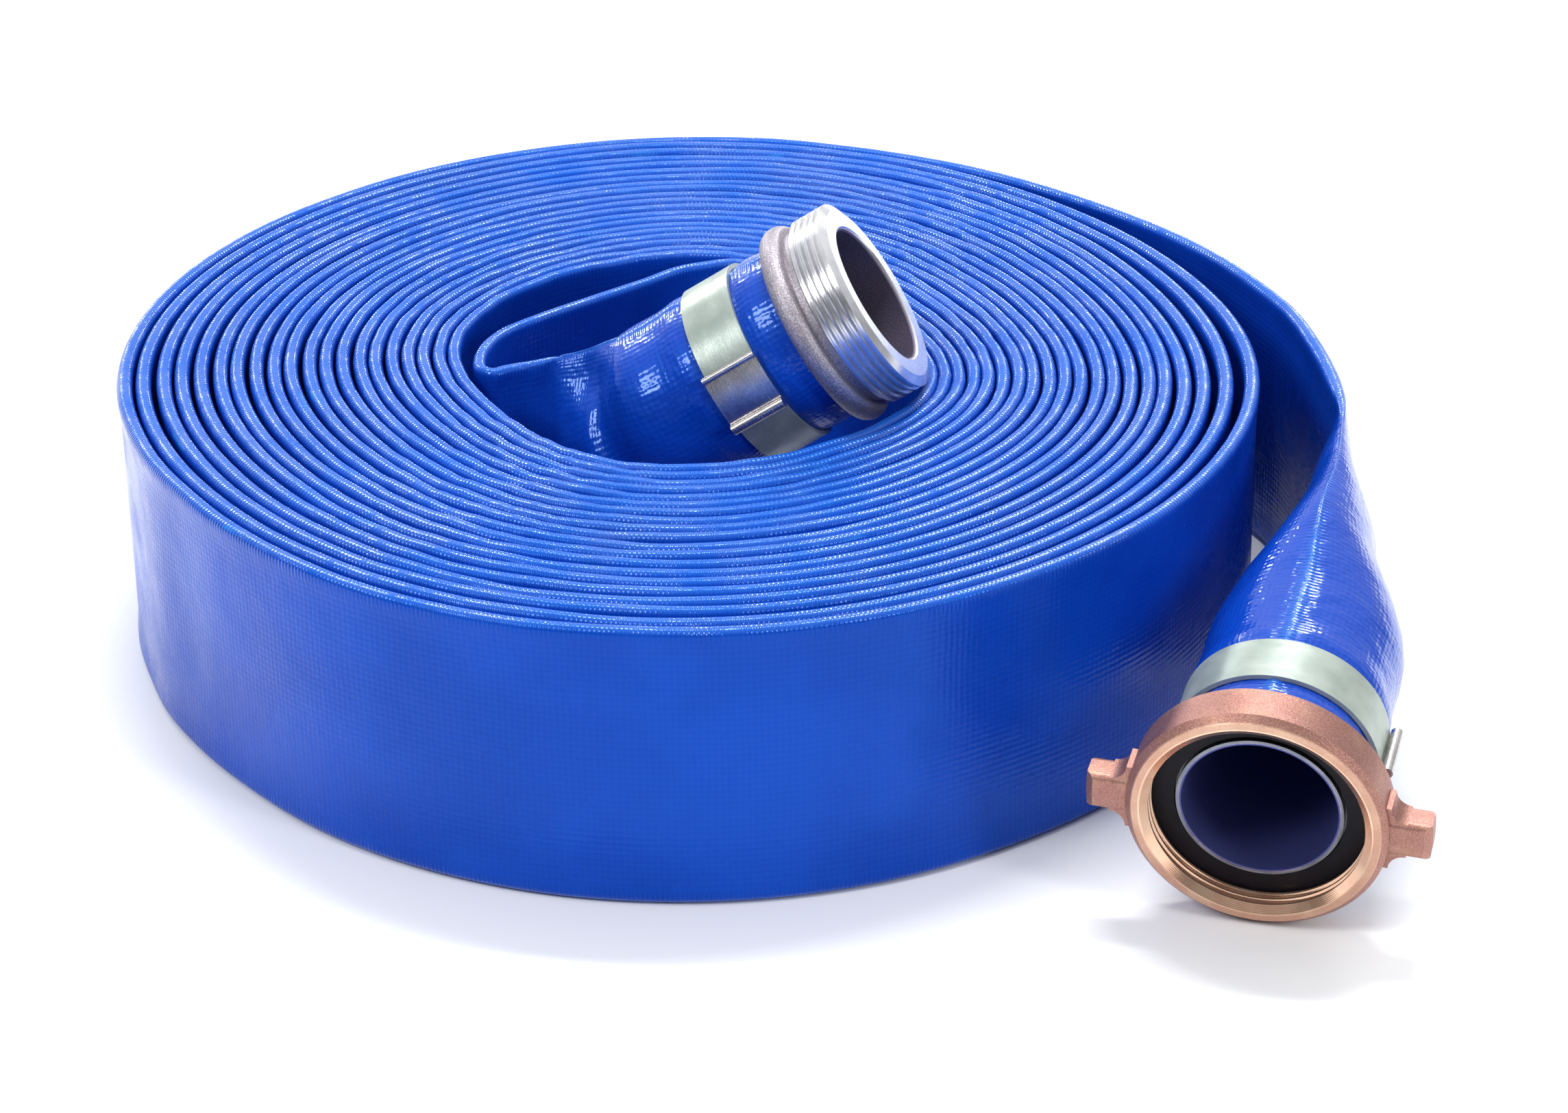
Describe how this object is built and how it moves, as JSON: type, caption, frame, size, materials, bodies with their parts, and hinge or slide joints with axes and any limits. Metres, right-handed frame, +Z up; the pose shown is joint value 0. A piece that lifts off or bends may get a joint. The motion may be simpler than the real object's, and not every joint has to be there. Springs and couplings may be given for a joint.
{
  "type": "rolled lay-flat hose",
  "caption": "Blue lay-flat discharge hose rolled up on its edge, with a threaded male coupling at its inner end and a swivel coupling with lugs at its outer end.",
  "frame": {"origin": "middle of the roll's open core, on the surface the roll lies on", "axes": "+Z up along the roll's axis; -Y is the front, where the swivel coupling points; +X is to the right, the side the outer end runs round"},
  "size_m": [0.3652, 0.3834, 0.1361],
  "materials": {
    "hose_pvc": "gloss, woven relief",
    "hose_liner": "smooth",
    "hose_yarn": "woven",
    "cast_aluminium": "cast, machined thread",
    "nut_brass": "cast, machined thread",
    "gasket_rubber": "matt",
    "band_steel": "satin",
    "buckle_steel": "bright"
  },
  "bodies": {
    "hose": {"hose_roll": "hose_pvc", "hose_outer_run": "hose_pvc", "hose_inner_run": "hose_pvc", "female_hose_liner": "hose_liner", "female_hose_yarn": "hose_yarn", "female_hose_cover": "hose_pvc", "male_hose_liner": "hose_liner", "male_hose_yarn": "hose_yarn", "male_hose_cover": "hose_pvc", "male_coupling": "cast_aluminium", "male_clamp_band": "band_steel", "male_clamp_buckle": "buckle_steel", "female_shank": "cast_aluminium", "female_clamp_band": "band_steel", "female_clamp_buckle": "buckle_steel"},
    "swivel": {"swivel_nut": "nut_brass", "gasket": "gasket_rubber"}
  },
  "joints": [
    {"name": "nut_spin", "type": "hinge", "parent": "hose", "child": "swivel", "pos_m": [0.1495, -0.1949, 0.0342], "axis": [-0.2833, -0.9441, -0.1685], "continuous": true}
  ]
}
